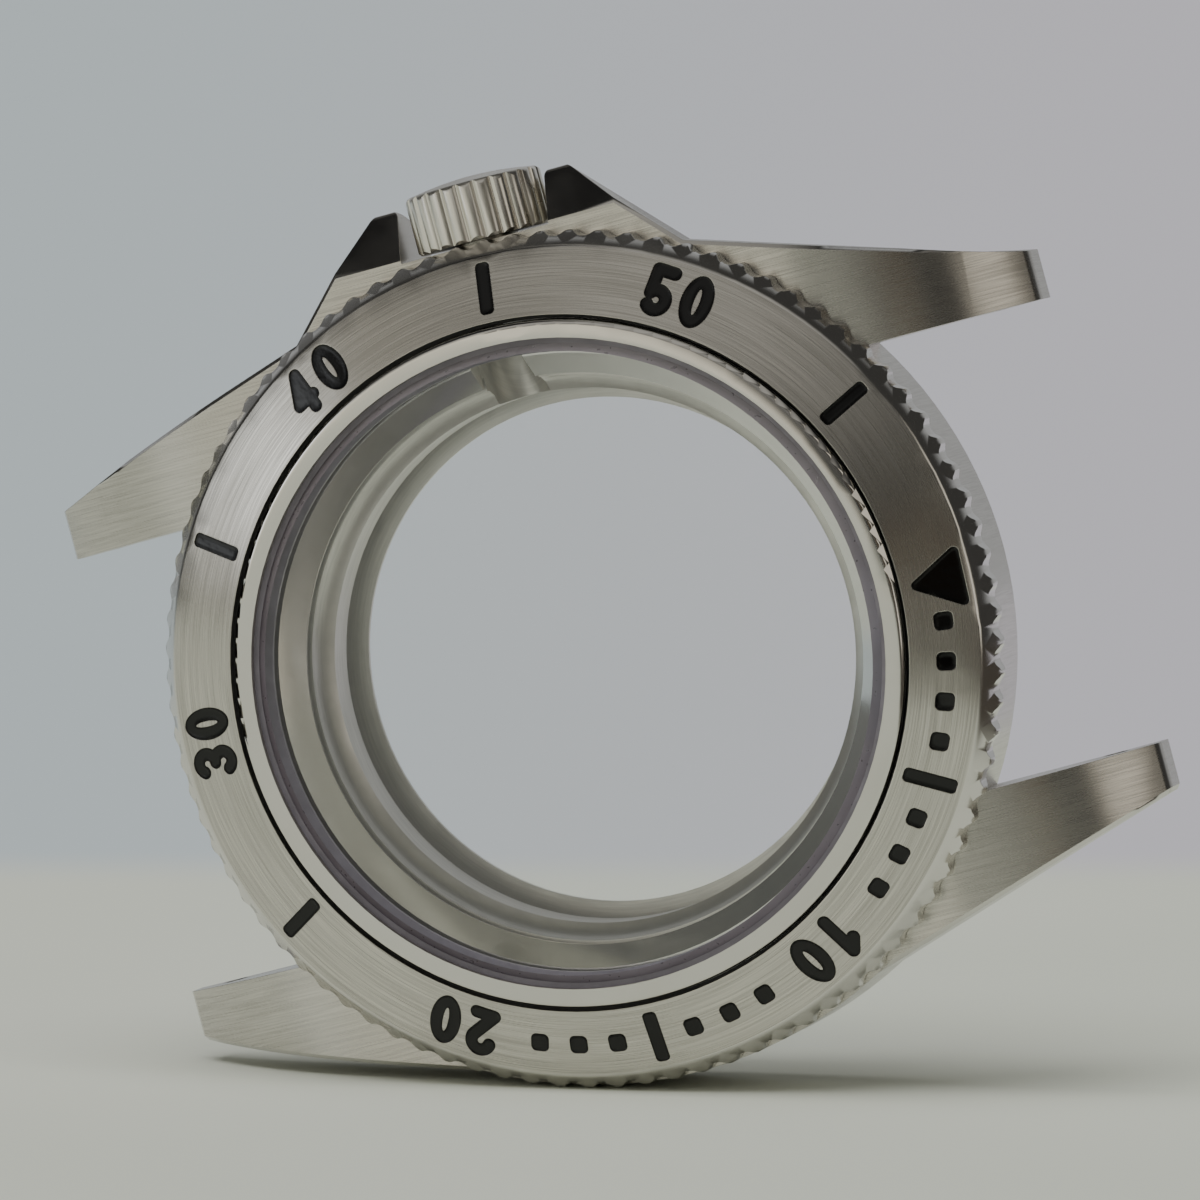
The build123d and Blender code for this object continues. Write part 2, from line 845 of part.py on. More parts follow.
# Back cover
def cover_ring():
    """Screw-in back ring with wrench slots and a seat for the back glass."""
    glass_seat = back_face + cover_lip
    body = turned(
        (cover_aperture, back_face + cover_lip_bevel),
        (cover_aperture + cover_lip_bevel, back_face),
        (cover_face_radius, back_face),
        (cover_flange_radius, case_base - cover_rim_height),
        (cover_flange_radius, case_base),
        (cover_thread_radius - fit_gap, case_base),
        (cover_thread_radius - fit_gap, cover_thread_top),
        (back_glass_radius + back_seal_width, cover_thread_top),
        (back_glass_radius + back_seal_width, glass_seat),
        (cover_aperture, glass_seat),
    )
    inner = cover_flange_radius - wrench_depth
    half = wrench_width / 2
    outer = cover_flange_radius + overrun
    notch = slab(inner, outer, -half, half, back_face - overrun, back_face + wrench_height)
    return body - [Rot(0, 0, (i + 0.5) * 360 / wrench_count) * notch for i in range(wrench_count)]


def back_glass():
    """Flat glass seen through the back."""
    low = back_face + cover_lip
    return ring(0, back_glass_radius, low, low + back_glass_thickness)


def back_glass_seal():
    """Collar pressed between the back glass and its seat."""
    low = back_face + cover_lip
    return ring(back_glass_radius, back_glass_radius + back_seal_width, low, low + back_seal_height)


def cover_seal():
    """Flat ring in the groove behind the case, under the cover flange."""
    return ring(cover_seal_inner, cover_seal_outer, case_base, case_base + cover_seal_thickness)


# Crown
def crown_cap():
    """Fluted crown with a domed end and a blind bore."""
    dome_share = 0.55
    body = turned(
        (0, crown_bore_end_x),
        (crown_bore, crown_bore_end_x),
        (crown_bore, crown_inner_x),
        (crown_radius - crown_bevel, crown_inner_x),
        (crown_radius, crown_inner_x + crown_bevel),
        (crown_radius, crown_edge_x),
        (0, crown_edge_x),
    )
    dome = dome_end(crown_radius, crown_edge_x, crown_outer_x, dome_share)
    body = body + (dome - ring(0, crown_bore, 0, crown_bore_end_x))
    waves = (crown_radius, crown_flute_count, crown_flute_depth, crown_ridge_round)
    body &= fluted_bar(*waves, crown_inner_x, crown_outer_x)
    inner = crown_bore
    body -= ring(inner, inner + crown_seal_depth, crown_seal_x, crown_seal_x + crown_seal_width)
    return on_stem(body)


def dome_end(radius, low, high, share):
    """Rounded end: a quarter-round shoulder that runs into a shallow dome."""
    shoulder = (high - low) * share
    arc_share = 1 - sqrt(0.5)
    inner = radius - shoulder
    middle = (radius - shoulder * arc_share, low + shoulder * (1 - arc_share))
    edge = ThreePointArc((radius, low), middle, (inner, low + shoulder))
    rise = high - low - shoulder
    big = (inner**2 + rise**2) / (2 * rise)
    half_angle = asin(inner / big) / 2
    crest = ThreePointArc(
        (inner, low + shoulder), (big * sin(half_angle), high - big + big * cos(half_angle)), (0, high)
    )
    close = Polyline((0, high), (0, low), (radius, low))
    return revolve(Plane.XZ * make_face(edge + crest + close), Axis.Z)


def crown_post():
    """Post that turns in the tube, with a threaded blind hole for the stem."""
    head_low = crown_bore_end_x - post_head_thickness
    head = ring(0, crown_bore - fit_gap, head_low, crown_bore_end_x)
    body = ring(0, post_radius, post_inner_x, head_low) + head
    body -= ring(0, post_thread_radius, post_inner_x - overrun, post_inner_x + post_thread_depth)
    return on_stem(body)


def crown_seal():
    """Soft ring in the crown bore that slides on the tube."""
    inner = tube_radius + fit_gap / 2
    outer = crown_bore + crown_seal_depth
    return on_stem(ring(inner, outer, crown_seal_x, crown_seal_x + crown_seal_width))


def crown_washer():
    """Slip washer between the crown spring and the head of the post."""
    high = crown_bore_end_x - post_head_thickness
    low = high - crown_washer_thickness
    return on_stem(ring(post_radius + slide_gap, crown_bore - slide_gap, low, high))


def crown_spring():
    """Coil spring round the post, pressed between the tube and the washer."""
    low = tube_outer_x
    high = crown_bore_end_x - post_head_thickness - crown_washer_thickness
    radius = (post_radius + crown_bore) / 2
    rise = high - low - crown_spring_wire - 2 * slide_gap
    path = Helix(pitch=rise / crown_spring_turns, height=rise, radius=radius)
    section = Plane(origin=path @ 0, z_dir=path % 0) * Circle(crown_spring_wire / 2)
    coil = sweep(section, path=path)
    return on_stem(Pos(0, 0, low + slide_gap + crown_spring_wire / 2) * coil)


def crown_tube():
    """Tube fixed in the case, with a flange in its seat."""
    flange_low = tube_seat_x + tube_seal_thickness
    outside = ring(tube_bore, tube_radius, tube_inner_x, tube_outer_x)
    flange = ring(tube_bore, tube_flange_radius, flange_low, flange_low + tube_flange_thickness)
    return on_stem(outside + flange)


def tube_seal():
    """Soft ring under the tube flange."""
    low = tube_seat_x
    return on_stem(ring(tube_radius, tube_seal_radius, low, low + tube_seal_thickness))


# One file for each node
def pieces():
    numerals = numeral_marks()
    bars = bar_marks()
    dots = dot_marks()
    triangle = triangle_marks()
    return {
        "mid_case": mid_case(),
        "bezel_ring": bezel_ring(numerals + bars + dots + triangle),
        "bezel_numeral_enamel": enamel(numerals),
        "bezel_bar_enamel": enamel(bars),
        "bezel_dot_enamel": enamel(dots),
        "bezel_triangle_enamel": enamel(triangle),
        "bezel_seal": bezel_seal(),
        "bezel_wire": bezel_wire(),
        "click_spring": click_spring(),
        "crystal": crystal(),
        "crystal_gasket": crystal_gasket(),
        "rehaut_ring": rehaut_ring(),
        "movement_holder": movement_holder(),
        "cover_ring": cover_ring(),
        "back_glass": back_glass(),
        "back_glass_seal": back_glass_seal(),
        "cover_seal": cover_seal(),
        "crown_cap": crown_cap(),
        "crown_post": crown_post(),
        "crown_seal": crown_seal(),
        "crown_washer": crown_washer(),
        "crown_spring": crown_spring(),
        "crown_tube": crown_tube(),
        "tube_seal": tube_seal(),
    }


os.makedirs("parts", exist_ok=True)
for node, shape in pieces().items():
    export_step(stand(shape), f"parts/{node}.step")
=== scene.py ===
import math

import bmesh
import bpy
import numpy as np
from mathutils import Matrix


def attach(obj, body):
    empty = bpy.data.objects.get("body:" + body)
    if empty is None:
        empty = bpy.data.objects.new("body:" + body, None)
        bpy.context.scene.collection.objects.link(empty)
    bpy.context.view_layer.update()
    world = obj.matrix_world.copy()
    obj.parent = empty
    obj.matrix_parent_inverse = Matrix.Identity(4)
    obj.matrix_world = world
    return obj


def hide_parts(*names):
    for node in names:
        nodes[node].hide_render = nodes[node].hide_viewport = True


# Empty diver's watch case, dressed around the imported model. Metres, in the model's own frame.
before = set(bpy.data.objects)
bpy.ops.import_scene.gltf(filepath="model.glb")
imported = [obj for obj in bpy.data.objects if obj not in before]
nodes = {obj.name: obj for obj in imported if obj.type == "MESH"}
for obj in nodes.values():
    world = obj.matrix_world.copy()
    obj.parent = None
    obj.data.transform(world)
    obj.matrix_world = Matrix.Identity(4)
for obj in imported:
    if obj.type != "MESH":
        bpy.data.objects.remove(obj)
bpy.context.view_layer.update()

# Watch axes: X to the crown, Y to twelve o'clock, Z out through the crystal, in millimetres
MM = 0.001
CASE_ROLL = math.radians(15.4)
CROWN_WAY = np.array([-math.sin(CASE_ROLL), 0.0, math.cos(CASE_ROLL)])
NOON_WAY = np.array([-math.cos(CASE_ROLL), 0.0, -math.sin(CASE_ROLL)])
FRONT_WAY = np.array([0.0, -1.0, 0.0])
WATCH_AXES = np.array([CROWN_WAY, NOON_WAY, FRONT_WAY])

WELD_GAP = 1e-7
SMOOTH_ANGLE = math.radians(35)

# Sizes of the case that the finishes follow, in millimetres
NECK_RADIUS = 16.5
CASE_TOP = 2.45
BEZEL_BORE = 16.70
BEZEL_TOP = 6.10
SHOULDER_RADIUS = 19.86
BEZEL_SLOPE = 0.405
LUG_BEND_START = 13.5
INSIDE_RADIUS = 15.7


def to_watch(places):
    """Frame metres to watch millimetres."""
    return places @ WATCH_AXES.T / MM


# Node trees
class Sheet:
    """A node tree that nodes are added to by kind, settings and inputs."""

    def __init__(self, tree):
        self.tree = tree

    def add(self, kind, settings=None, inputs=None):
        """Adds one node. An input is a value, or an output socket to link from."""
        node = self.tree.nodes.new(kind)
        for name, value in (settings or {}).items():
            setattr(node, name, value)
        for name, value in (inputs or {}).items():
            if isinstance(value, bpy.types.NodeSocket):
                self.tree.links.new(value, node.inputs[name])
            else:
                node.inputs[name].default_value = value
        return node

    def sum(self, operation, *values):
        """One Math node on up to three values."""
        return self.add("ShaderNodeMath", {"operation": operation}, dict(enumerate(values))).outputs[0]

    def reach(self, place, way):
        """Distance of a place along a direction."""
        node = self.add("ShaderNodeVectorMath", {"operation": "DOT_PRODUCT"}, {0: place, 1: tuple(way)})
        return node.outputs["Value"]

    def noise(self, place, scale, detail=2.0, roughness=0.5):
        """Noise from 0 to 1 at a place."""
        inputs = {"Vector": place, "Scale": scale, "Detail": detail, "Roughness": roughness}
        return self.add("ShaderNodeTexNoise", None, inputs).outputs[0]

    def ramp(self, value, low, high, start=0.0, end=1.0, smooth=True):
        """Value from low to high mapped to start to end, held outside."""
        kind = {"interpolation_type": "SMOOTHSTEP" if smooth else "LINEAR"}
        inputs = {"Value": value, "From Min": low, "From Max": high, "To Min": start, "To Max": end}
        return self.add("ShaderNodeMapRange", kind, inputs).outputs["Result"]

    def blend(self, share, first, second):
        """Colour that goes from the first to the second as the share goes from 0 to 1."""
        node = self.add("ShaderNodeMix", {"data_type": "RGBA"}, {"Factor": share})
        for socket, value in ((node.inputs[6], first), (node.inputs[7], second)):
            if isinstance(value, bpy.types.NodeSocket):
                self.tree.links.new(value, socket)
            else:
                socket.default_value = (*value, 1.0)
        return node.outputs[2]

    def combine(self, x, y, z):
        """Vector from three values."""
        return self.add("ShaderNodeCombineXYZ", None, {0: x, 1: y, 2: z}).outputs[0]


def effect(name, sockets, results):
    """A shared shader group with named inputs (name, kind, default) and named outputs."""
    group = bpy.data.node_groups.new(name, "ShaderNodeTree")
    for label, kind, value in sockets:
        socket = group.interface.new_socket(label, in_out="INPUT", socket_type=kind)
        socket.default_value = value
    for label in results:
        group.interface.new_socket(label, in_out="OUTPUT", socket_type="NodeSocketFloat")
    sheet = Sheet(group)
    return group, sheet, sheet.add("NodeGroupInput").outputs, sheet.add("NodeGroupOutput").inputs


FLOAT = "NodeSocketFloat"
VECTOR = "NodeSocketVector"


def turned_brushing():
    """Fine lines that run round the dial axis: noise on the unit circle, packed along the radius."""
    sockets = (("Place", VECTOR, (0, 0, 0)), ("Lines per metre", FLOAT, 9000.0), ("Arcs", FLOAT, 5.0))
    group, sheet, inside, out = effect("turned_brushing", sockets, ("Streak", "Band"))
    parts = sheet.add("ShaderNodeSeparateXYZ", None, {0: inside["Place"]}).outputs
    radius = sheet.sum("SQRT", sheet.sum("ADD", sheet.sum("MULTIPLY", parts[0], parts[0]),
                                         sheet.sum("MULTIPLY", parts[2], parts[2])))
    across = sheet.sum("DIVIDE", parts[0], radius)
    up = sheet.sum("DIVIDE", parts[2], radius)
    depth = sheet.sum("ADD", radius, parts[1])

    def lines(arc_share, line_share):
        """Noise drawn out round the axis."""
        arcs = sheet.sum("MULTIPLY", inside["Arcs"], arc_share)
        packed = sheet.sum("MULTIPLY", sheet.sum("MULTIPLY", depth, inside["Lines per metre"]), line_share)
        place = sheet.combine(sheet.sum("MULTIPLY", across, arcs), sheet.sum("MULTIPLY", up, arcs), packed)
        return sheet.noise(place, 1.0, 3.0, 0.6)

    sheet.tree.links.new(lines(1.0, 1.0), out["Streak"])
    sheet.tree.links.new(lines(0.6, 0.14), out["Band"])
    return group


def straight_brushing():
    """Fine lines that run from lug to lug: noise packed across the lines."""
    sockets = (("Place", VECTOR, (0, 0, 0)), ("Lines per metre", FLOAT, 9000.0), ("Stretch", FLOAT, 260.0))
    group, sheet, inside, out = effect("straight_brushing", sockets, ("Streak", "Band"))
    along = sheet.sum("MULTIPLY", sheet.reach(inside["Place"], NOON_WAY), inside["Stretch"])
    across = sheet.reach(inside["Place"], CROWN_WAY)
    depth = sheet.reach(inside["Place"], FRONT_WAY)

    def lines(line_share, depth_share):
        """Noise drawn out from lug to lug."""
        packed = sheet.sum("MULTIPLY", sheet.sum("MULTIPLY", across, inside["Lines per metre"]), line_share)
        deep = sheet.sum("MULTIPLY", sheet.sum("MULTIPLY", depth, inside["Lines per metre"]), depth_share)
        return sheet.noise(sheet.combine(along, packed, deep), 1.0, 3.0, 0.6)

    sheet.tree.links.new(lines(1.0, 0.02), out["Streak"])
    sheet.tree.links.new(lines(0.12, 0.01), out["Band"])
    return group


def handling():
    """Soft smudges and a sparse haze, as fingers and a polishing cloth leave."""
    sockets = (("Place", VECTOR, (0, 0, 0)), ("Patches per metre", FLOAT, 180.0))
    group, sheet, inside, out = effect("handling", sockets, ("Smudge", "Speck"))
    smudge = sheet.noise(inside["Place"], inside["Patches per metre"], 3.0, 0.55)
    sheet.tree.links.new(sheet.ramp(smudge, 0.35, 0.7), out["Smudge"])
    speck = sheet.noise(inside["Place"], sheet.sum("MULTIPLY", inside["Patches per metre"], 22.0), 1.0)
    sheet.tree.links.new(sheet.ramp(speck, 0.62, 0.8), out["Speck"])
    return group


TURNED = turned_brushing()
STRAIGHT = straight_brushing()
HANDLING = handling()


STREAK_SHARE = 0.8
BAND_SHARE = 0.2


def new_material(name):
    """A material with its Principled shader: (material, sheet, shader, object place)."""
    material = bpy.data.materials.new(name)
    material.use_nodes = True
    sheet = Sheet(material.node_tree)
    shader = material.node_tree.nodes["Principled BSDF"]
    place = sheet.add("ShaderNodeTexCoord").outputs["Object"]
    return material, sheet, shader, place


def softened(sheet, radius):
    """Normal that rounds the edges of a piece by a small radius, in metres."""
    return sheet.add("ShaderNodeBevel", {"samples": 4}, {"Radius": radius}).outputs[0]


def steel(name, colour, roughness, brushing=None, grain=0.0, lines=9000.0, run=5.0, streak=0.08,
          spread=0.0, edge=0.0):
    """Steel, brushed where brushing is given. Grain is the lines' depth and edge a rounding, in metres."""
    material, sheet, shader, place = new_material(name)
    marks = sheet.add("ShaderNodeGroup", {"node_tree": HANDLING}, {"Place": place}).outputs
    shader.inputs["Metallic"].default_value = 1.0
    dull = tuple(channel * 0.86 for channel in colour)
    if brushing is None:
        base = sheet.blend(sheet.sum("MULTIPLY", marks["Smudge"], 0.35), colour, dull)
        rough = sheet.ramp(marks["Smudge"], 0.0, 1.0, roughness, roughness * 1.7)
        height = marks["Smudge"]
    else:
        run_name = "Arcs" if brushing is TURNED else "Stretch"
        inputs = {"Place": place, "Lines per metre": lines, run_name: run}
        lined = sheet.add("ShaderNodeGroup", {"node_tree": brushing}, inputs).outputs
        light = tuple(min(1.0, channel * (1 + streak)) for channel in colour)
        dark = tuple(channel * (1 - 2 * streak) for channel in colour)
        mixed = sheet.sum("ADD", sheet.sum("MULTIPLY", lined["Streak"], STREAK_SHARE),
                          sheet.sum("MULTIPLY", lined["Band"], BAND_SHARE))
        base = sheet.blend(sheet.ramp(mixed, 0.3, 0.7), dark, light)
        rough = sheet.ramp(mixed, 0.3, 0.7, roughness * 1.15, roughness * 0.85)
        rough = sheet.sum("ADD", rough, sheet.sum("MULTIPLY", marks["Smudge"], 0.03))
        height = mixed
        if spread:
            way = {"direction_type": "RADIAL", "axis": "Y"}
            if brushing is STRAIGHT:
                way = {"direction_type": "UV_MAP", "uv_map": "across_lines"}
            tangent = sheet.add("ShaderNodeTangent", way)
            sheet.tree.links.new(tangent.outputs[0], shader.inputs["Tangent"])
            shader.inputs["Anisotropic"].default_value = spread
            shader.inputs["Anisotropic Rotation"].default_value = 0.25 if brushing is TURNED else 0.0
    normal = softened(sheet, edge) if edge else None
    if grain:
        inputs = {"Strength": 1.0, "Distance": grain, "Height": height}
        if normal:
            inputs["Normal"] = normal
        normal = sheet.add("ShaderNodeBump", None, inputs).outputs[0]
    if normal:
        sheet.tree.links.new(normal, shader.inputs["Normal"])
    sheet.tree.links.new(base, shader.inputs["Base Color"])
    sheet.tree.links.new(rough, shader.inputs["Roughness"])
    return material


def filled_enamel():
    """Black enamel, glossy, drawn up hollow along its edges, with a few specks of dust."""
    material, sheet, shader, place = new_material("black_enamel")
    inputs = {"Place": place, "Patches per metre": 900.0}
    marks = sheet.add("ShaderNodeGroup", {"node_tree": HANDLING}, inputs).outputs
    base = sheet.blend(marks["Speck"], (0.001, 0.001, 0.0011), (0.004, 0.004, 0.0045))
    sheet.tree.links.new(base, shader.inputs["Base Color"])
    sheet.tree.links.new(sheet.ramp(marks["Smudge"], 0, 1, 0.03, 0.09), shader.inputs["Roughness"])
    flat = sheet.add("ShaderNodeNewGeometry").outputs["True Normal"]
    rounded = softened(sheet, 0.00035)
    level = sheet.add("ShaderNodeVectorMath", {"operation": "DOT_PRODUCT"}, {0: flat, 1: rounded})
    doubled = sheet.sum("MULTIPLY", level.outputs["Value"], 2.0)
    twice = sheet.add("ShaderNodeVectorMath", {"operation": "SCALE"}, {0: flat, "Scale": doubled})
    hollow = sheet.add("ShaderNodeVectorMath", {"operation": "SUBTRACT"}, {0: twice.outputs[0], 1: rounded})
    bump = sheet.add("ShaderNodeBump", None, {"Strength": 1.0, "Distance": 6e-6, "Height": marks["Smudge"],
                                              "Normal": hollow.outputs[0]})
    sheet.tree.links.new(bump.outputs[0], shader.inputs["Normal"])
    shader.inputs["Specular IOR Level"].default_value = 0.45
    return material


def clear_glass(name, tint, ior):
    """Clear glass to the eye. Light that reaches the metal behind it passes straight through."""
    material, sheet, shader, place = new_material(name)
    shader.inputs["Base Color"].default_value = (*tint, 1.0)
    shader.inputs["Transmission Weight"].default_value = 1.0
    shader.inputs["Roughness"].default_value = 0.0
    shader.inputs["IOR"].default_value = ior
    clear = sheet.add("ShaderNodeBsdfTransparent", None, {"Color": (*tint, 1.0)})
    path = sheet.add("ShaderNodeLightPath")
    seen = sheet.sum("MAXIMUM", path.outputs["Is Camera Ray"], path.outputs["Is Transmission Ray"])
    mix = sheet.add("ShaderNodeMixShader", None, {0: seen})
    links = material.node_tree.links
    links.new(clear.outputs[0], mix.inputs[1])
    links.new(shader.outputs[0], mix.inputs[2])
    output = material.node_tree.nodes["Material Output"]
    links.new(mix.outputs[0], output.inputs["Surface"])
    return material


def moulded(name, colour, roughness, patch=600.0, depth=4e-6, through=0.0):
    """Rubber, nylon or polymer with a fine uneven skin."""
    material, sheet, shader, place = new_material(name)
    inputs = {"Place": place, "Patches per metre": patch}
    marks = sheet.add("ShaderNodeGroup", {"node_tree": HANDLING}, inputs).outputs
    worn = tuple(min(1.0, channel * 1.25 + 0.01) for channel in colour)
    sheet.tree.links.new(sheet.blend(marks["Smudge"], colour, worn), shader.inputs["Base Color"])
    rough = sheet.ramp(marks["Speck"], 0, 1, roughness, roughness * 0.8)
    sheet.tree.links.new(rough, shader.inputs["Roughness"])
    bump = sheet.add("ShaderNodeBump", None, {"Strength": 1.0, "Distance": depth, "Height": marks["Smudge"]})
    sheet.tree.links.new(bump.outputs[0], shader.inputs["Normal"])
    shader.inputs["Transmission Weight"].default_value = through
    return material


WARM_STEEL = (0.64, 0.615, 0.565)
BRIGHT_STEEL = (0.74, 0.72, 0.68)

case_satin = steel("case_satin", WARM_STEEL, 0.25, STRAIGHT, 1.6e-6, 14000.0, 260.0, 0.09, 0.85, 5e-5)
case_polish = steel("case_polish", BRIGHT_STEEL, 0.14, edge=6e-5)
flank_satin = steel("flank_satin", WARM_STEEL, 0.20, STRAIGHT, 0.8e-6, 14000.0, 260.0, 0.05)
neck_polish = steel("neck_polish", BRIGHT_STEEL, 0.12)
inner_satin = steel("inner_satin", WARM_STEEL, 0.34, TURNED, 1.0e-6, 9000.0, 5.0, 0.06)
bezel_satin = steel("bezel_satin", WARM_STEEL, 0.25, TURNED, 2.4e-6, 17000.0, 3.0, 0.16, 0.8, 6e-5)
bezel_polish = steel("bezel_polish", BRIGHT_STEEL, 0.16, edge=6e-5)
ring_polish = steel("ring_polish", BRIGHT_STEEL, 0.10)
# Painted light: the crown's polished steel is made lighter than the case's polished steel, so that it looks
# as brightly lit
crown_polish_painted_light = steel("crown_polish_painted_light", (0.86, 0.83, 0.76), 0.22)
spring_finish = steel("spring_finish", (0.62, 0.62, 0.63), 0.2)
black_enamel = filled_enamel()
crystal_glass = clear_glass("crystal_glass", (0.985, 0.99, 1.0), 1.55)
back_crystal_glass = clear_glass("back_crystal_glass", (0.985, 0.99, 0.99), 1.45)
crystal_bevel = moulded("crystal_bevel", (0.16, 0.135, 0.16), 0.3, patch=200.0, depth=1e-6, through=0.35)
seal_rubber = moulded("seal_rubber", (0.02, 0.02, 0.021), 0.6)
collar_nylon = moulded("collar_nylon", (0.24, 0.22, 0.26), 0.35, through=0.2)
slip_polymer = moulded("slip_polymer", (0.72, 0.71, 0.66), 0.45)


# Dressing the CAD nodes
def joined_copy(node):
    """A node's mesh with its loose triangles joined and its sharp edges marked."""
    mesh = nodes[node].data.copy()
    for name in ("custom_normal", "sharp_face", "sharp_edge"):
        if name in mesh.attributes:
            mesh.attributes.remove(mesh.attributes[name])
    work = bmesh.new()
    work.from_mesh(mesh)
    bmesh.ops.remove_doubles(work, verts=work.verts, dist=WELD_GAP)
    work.to_mesh(mesh)
    work.free()
    mesh.shade_smooth()
    mesh.set_sharp_from_angle(angle=SMOOTH_ANGLE)
    return mesh


def map_across_lines(mesh):
    """UV layer whose u is the watch's X and v its Y, in centimetres."""
    places = np.empty(len(mesh.vertices) * 3)
    mesh.vertices.foreach_get("co", places)
    corner = np.empty(len(mesh.loops), dtype=np.int32)
    mesh.loops.foreach_get("vertex_index", corner)
    flat = to_watch(places.reshape(-1, 3))[corner, :2] * 0.1
    layer = mesh.uv_layers.new(name="across_lines")
    layer.uv.foreach_set("vector", flat.astype(np.float32).ravel())


def dress(node, piece, body, finishes, choose=None):
    """Replaces a node with a joined, smooth copy. choose gives each face the number of its finish."""
    mesh = joined_copy(node)
    mesh.name = piece
    mesh.materials.clear()
    for finish in finishes:
        mesh.materials.append(finish)
    count = len(mesh.polygons)
    index = np.zeros(count, dtype=np.int32)
    if choose is not None:
        centre = np.empty(count * 3)
        normal = np.empty(count * 3)
        mesh.polygons.foreach_get("center", centre)
        mesh.polygons.foreach_get("normal", normal)
        index = choose(to_watch(centre.reshape(-1, 3)), normal.reshape(-1, 3) @ WATCH_AXES.T).astype(np.int32)
        map_across_lines(mesh)
    mesh.polygons.foreach_set("material_index", index)
    obj = bpy.data.objects.new(piece, mesh)
    bpy.context.scene.collection.objects.link(obj)
    weighted = obj.modifiers.new("even_shading", "WEIGHTED_NORMAL")
    weighted.keep_sharp = True
    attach(obj, body)
    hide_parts(node)
    return obj


def case_finish(place, normal):
    """0 satin tops, 1 polished bevels and facets, 2 flanks, 3 neck, 4 inside and back."""
    radius = np.hypot(place[:, 0], place[:, 1])
    index = np.ones(len(place))
    flat_top = (normal[:, 2] > 0.995) & (place[:, 2] > CASE_TOP - 0.05)
    bend = (np.abs(normal[:, 0]) < 0.05) & (normal[:, 2] > 0.6) & (np.abs(place[:, 1]) > LUG_BEND_START - 0.1)
    index[flat_top | bend] = 0
    index[np.abs(normal[:, 2]) < 0.3] = 2
    index[normal[:, 2] < -0.3] = 4
    index[(radius < NECK_RADIUS + 0.05) & (place[:, 2] > CASE_TOP + 0.1)] = 3
    index[radius < INSIDE_RADIUS] = 4
    return index


def crystal_finish(place, normal):
    """0 clear faces, 1 ground bevel."""
    return ((normal[:, 2] > 0.3) & (normal[:, 2] < 0.95)).astype(int)


def bezel_finish(place, normal):
    """0 brushed face, 1 polished wall, rim and pit walls."""
    radius = np.hypot(place[:, 0], place[:, 1])
    face = BEZEL_TOP - BEZEL_SLOPE * (radius - BEZEL_BORE)
    on_face = (np.abs(place[:, 2] - face) < 0.03) & (normal[:, 2] > 0.85) & (radius < SHOULDER_RADIUS)
    return np.where(on_face, 0, 1)


dress("mid_case", "middle_case", "case",
      (case_satin, case_polish, flank_satin, neck_polish, inner_satin), case_finish)
dress("bezel_ring", "turning_bezel", "bezel", (bezel_satin, bezel_polish), bezel_finish)
for mark in ("numeral", "bar", "dot", "triangle"):
    dress(f"bezel_{mark}_enamel", f"{mark}_fill", "bezel", (black_enamel,))
dress("crystal", "front_crystal", "case", (crystal_glass, crystal_bevel), crystal_finish)
dress("crystal_gasket", "crystal_collar", "case", (collar_nylon,))
dress("rehaut_ring", "sloping_ring", "case", (ring_polish,))
dress("movement_holder", "stepped_holder", "case", (inner_satin,))
dress("cover_ring", "screw_back", "back_cover", (inner_satin,))
dress("back_glass", "back_crystal", "back_cover", (back_crystal_glass,))
dress("crown_cap", "fluted_crown", "crown", (crown_polish_painted_light,))

KEPT_FINISHES = {
    "bezel_seal": seal_rubber,
    "bezel_wire": spring_finish,
    "click_spring": spring_finish,
    "back_glass_seal": collar_nylon,
    "cover_seal": seal_rubber,
    "crown_post": inner_satin,
    "crown_seal": seal_rubber,
    "crown_washer": slip_polymer,
    "crown_spring": spring_finish,
    "crown_tube": inner_satin,
    "tube_seal": seal_rubber,
}
for node, finish in KEPT_FINISHES.items():
    for part in nodes[node].material_slots:
        part.material = finish

# Camera: the photograph's place and field of view
CAMERA_PLACE = (0.115379, -0.468667, 0.037510)
CAMERA_AZIMUTH = math.radians(13.816)
CAMERA_ELEVATION = math.radians(4.134)
CAMERA_LENS = 300.6
camera_data = bpy.data.cameras.new("camera")
camera_data.lens = CAMERA_LENS
camera_data.sensor_width = 36.0
camera_data.clip_end = 50.0
camera = bpy.data.objects.new("camera", camera_data)
camera.location = CAMERA_PLACE
camera.rotation_euler = (math.pi / 2 - CAMERA_ELEVATION, 0.0, CAMERA_AZIMUTH)
bpy.context.scene.collection.objects.link(camera)
bpy.context.scene.camera = camera

# Floor: a pale cloth, a dark table beside it on the right and plain grey ground behind it
FLOOR_HEIGHT = -0.02065
FLOOR_REACH = 8.0
CLOTH_EDGE = 0.104
CLOTH_FADE = 0.012
CLOTH_SIDE = 0.075
SIDE_FADE = 0.020
SIDE_REACH = 0.20
BACK_WAY = (-math.sin(CAMERA_AZIMUTH), math.cos(CAMERA_AZIMUTH), 0.0)
SIDE_WAY = (math.cos(CAMERA_AZIMUTH), math.sin(CAMERA_AZIMUTH), 0.0)


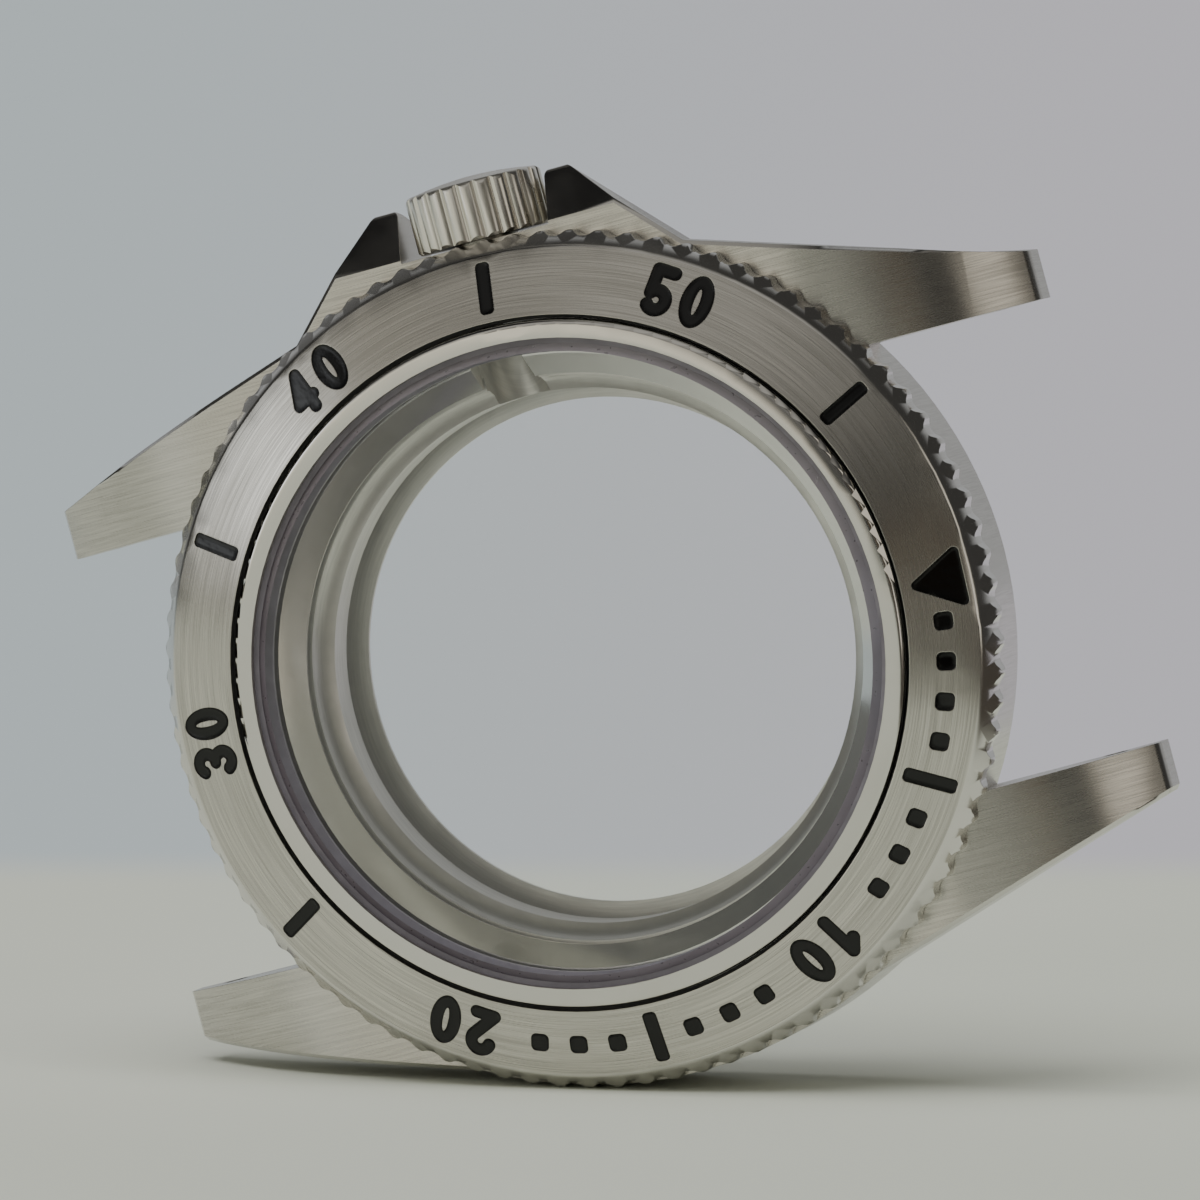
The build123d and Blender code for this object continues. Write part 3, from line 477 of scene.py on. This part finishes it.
def floor_cloth():
    """Pale cloth, a dark table beside it on the right, and plain grey behind, bluish to lilac."""
    material, sheet, shader, place = new_material("floor_cloth")
    way = sheet.reach(place, BACK_WAY)
    far = sheet.ramp(way, CLOTH_EDGE - CLOTH_FADE, CLOTH_EDGE + CLOTH_FADE)
    # Painted shade: soft lighter and darker patches on the flat cloth stand in for the light and shade of
    # folds
    painted_fold_shade = sheet.noise(place, 22.0, 2.0)
    near = sheet.blend(painted_fold_shade, (0.72, 0.76, 0.66), (0.79, 0.81, 0.73))
    aside = sheet.sum("DIVIDE", sheet.reach(place, SIDE_WAY), sheet.sum("ADD", way, 0.48))
    behind = sheet.blend(sheet.ramp(aside, -0.06, 0.06), (0.60, 0.675, 0.715), (0.68, 0.665, 0.735))
    widening = sheet.sum("MULTIPLY", sheet.sum("MAXIMUM", way, 0.0), SIDE_REACH)
    out = sheet.sum("SUBTRACT", sheet.reach(place, SIDE_WAY), widening)
    table = sheet.ramp(out, CLOTH_SIDE - SIDE_FADE, CLOTH_SIDE + SIDE_FADE)
    beside = sheet.blend(table, near, (0.07, 0.06, 0.05))
    sheet.tree.links.new(sheet.blend(far, beside, behind), shader.inputs["Base Color"])
    shader.inputs["Roughness"].default_value = 0.9
    shader.inputs["Specular IOR Level"].default_value = 0.1
    return material


corners = np.array([(-1, -1), (1, -1), (1, 1), (-1, 1)]) * FLOOR_REACH
floor_mesh = bpy.data.meshes.new("floor")
floor_mesh.from_pydata([(x, y, FLOOR_HEIGHT) for x, y in corners], [], [(0, 1, 2, 3)])
floor_mesh.materials.append(floor_cloth())
floor = bpy.data.objects.new("floor", floor_mesh)
bpy.context.scene.collection.objects.link(floor)

# Surroundings, in degrees: (azimuth, elevation, half width, edge, brightness, colour).
# Azimuth 0 is straight in front of the dial and grows to the right.
PANELS = (
    (180, 0, 50, 18, 0.42, (0.96, 0.98, 1.0)),
    (-15, 52, 30, 22, 0.42, (1.0, 0.98, 0.92)),
    (-59, 56, 17, 7, 0.012, (1.0, 1.0, 1.0)),
    (-30, -4, 24, 8, 0.98, (1.0, 0.95, 0.80)),
    (-54, 14, 9, 6, 1.9, (0.95, 0.98, 1.0)),
    (67, -16, 9, 7, 0.95, (1.0, 0.94, 0.82)),
    (67, 4, 9, 7, 1.05, (1.0, 0.94, 0.82)),
    (66, 24, 9, 7, 0.8, (1.0, 0.94, 0.82)),
    (30, 6, 6, 5, 0.10, (1.0, 0.66, 0.32)),
    (25, -10, 16, 6, 0.12, (1.0, 0.95, 0.85)),
)
DARK_ROOM = (0.045, 0.044, 0.042)


def surroundings():
    """World: a dark room with soft panels, the same for every ray."""
    world = bpy.data.worlds.new("surroundings")
    world.use_nodes = True
    bpy.context.scene.world = world
    sheet = Sheet(world.node_tree)
    way = sheet.add("ShaderNodeTexCoord").outputs["Generated"]
    colour = None
    for azimuth, elevation, width, edge, brightness, tint in PANELS:
        azimuth, elevation = math.radians(azimuth), math.radians(elevation)
        level = math.cos(elevation)
        aim = (math.sin(azimuth) * level, -math.cos(azimuth) * level, math.sin(elevation))
        outer = math.cos(math.radians(width + edge))
        inner = math.cos(math.radians(max(width - edge, 0.0)))
        share = sheet.ramp(sheet.reach(way, aim), outer, inner)
        lit = tuple(channel * brightness for channel in tint)
        colour = sheet.blend(share, colour or DARK_ROOM, lit)
    background = world.node_tree.nodes["Background"]
    world.node_tree.links.new(colour, background.inputs["Color"])


surroundings()


def sunlight(name, azimuth, elevation, spread, strength, colour, glossy=False):
    """Distant lamp, in degrees. Unless glossy, it is not seen in polished surfaces."""
    lamp = bpy.data.lights.new(name, "SUN")
    lamp.angle = math.radians(spread)
    lamp.energy = strength
    lamp.color = colour
    obj = bpy.data.objects.new(name, lamp)
    obj.rotation_euler = (math.radians(90 - elevation), 0.0, math.radians(azimuth))
    obj.visible_glossy = glossy
    bpy.context.scene.collection.objects.link(obj)
    return obj


sunlight("overhead", -20, 72, 56, 2.05, (1.0, 1.0, 0.98))
